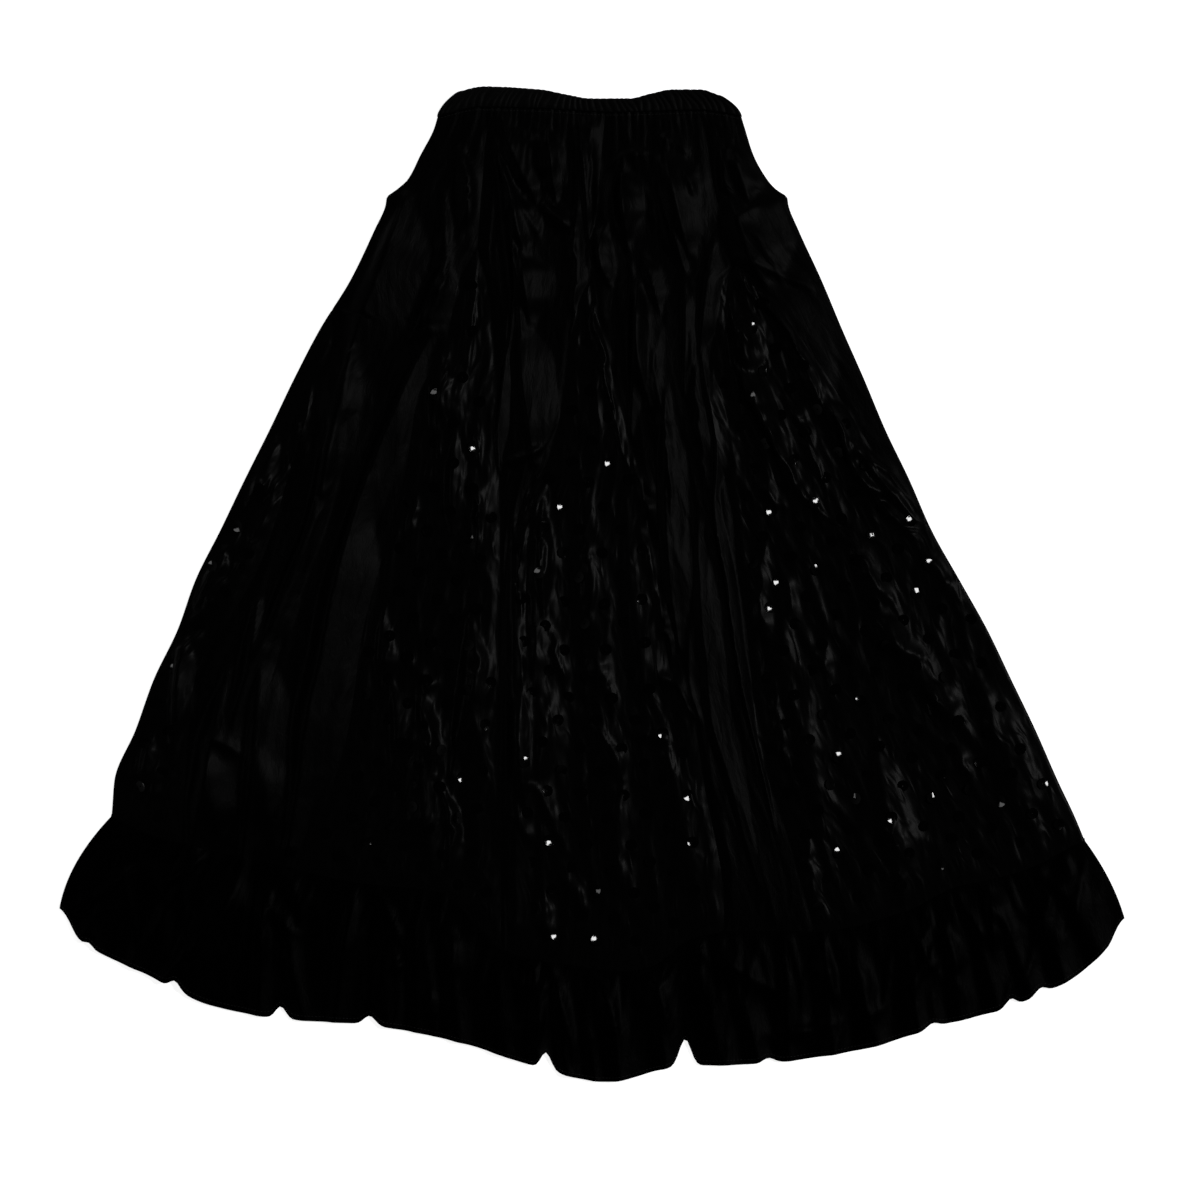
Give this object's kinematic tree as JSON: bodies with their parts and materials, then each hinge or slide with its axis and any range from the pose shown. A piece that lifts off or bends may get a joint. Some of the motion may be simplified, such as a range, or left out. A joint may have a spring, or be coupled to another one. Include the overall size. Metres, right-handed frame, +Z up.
{
  "type": "long gored skirt with sequined godets and a ruffled hem",
  "caption": "Long flared skirt laid out flat, with an elastic waistband, gores, shiny godets and a gathered hem ruffle.",
  "frame": {"origin": "under the middle of the skirt's box, on the surface that it lies on", "axes": "+Y from the hem towards the waist, +X to the right seen from above, +Z up out of the front of the skirt"},
  "size_m": [1.065, 0.994, 0.0172],
  "materials": {
    "dull_satin": "black satin, dull side out, fine weave with a soft low sheen",
    "shiny_satin": "black satin, glossy and crinkled, set with round glossy black sequins"
  },
  "bodies": {
    "root": {"waistband_front": "dull_satin", "waistband_back": "dull_satin", "gore_1": "dull_satin", "gore_2": "dull_satin", "gore_3": "dull_satin", "gore_4": "dull_satin", "gore_5": "dull_satin", "gore_6": "dull_satin", "godet_a": "shiny_satin", "godet_b": "shiny_satin", "godet_c": "shiny_satin", "godet_d": "shiny_satin", "godet_e": "shiny_satin", "godet_f": "shiny_satin", "ruffle_front": "dull_satin", "ruffle_back": "dull_satin"}
  },
  "joints": []
}
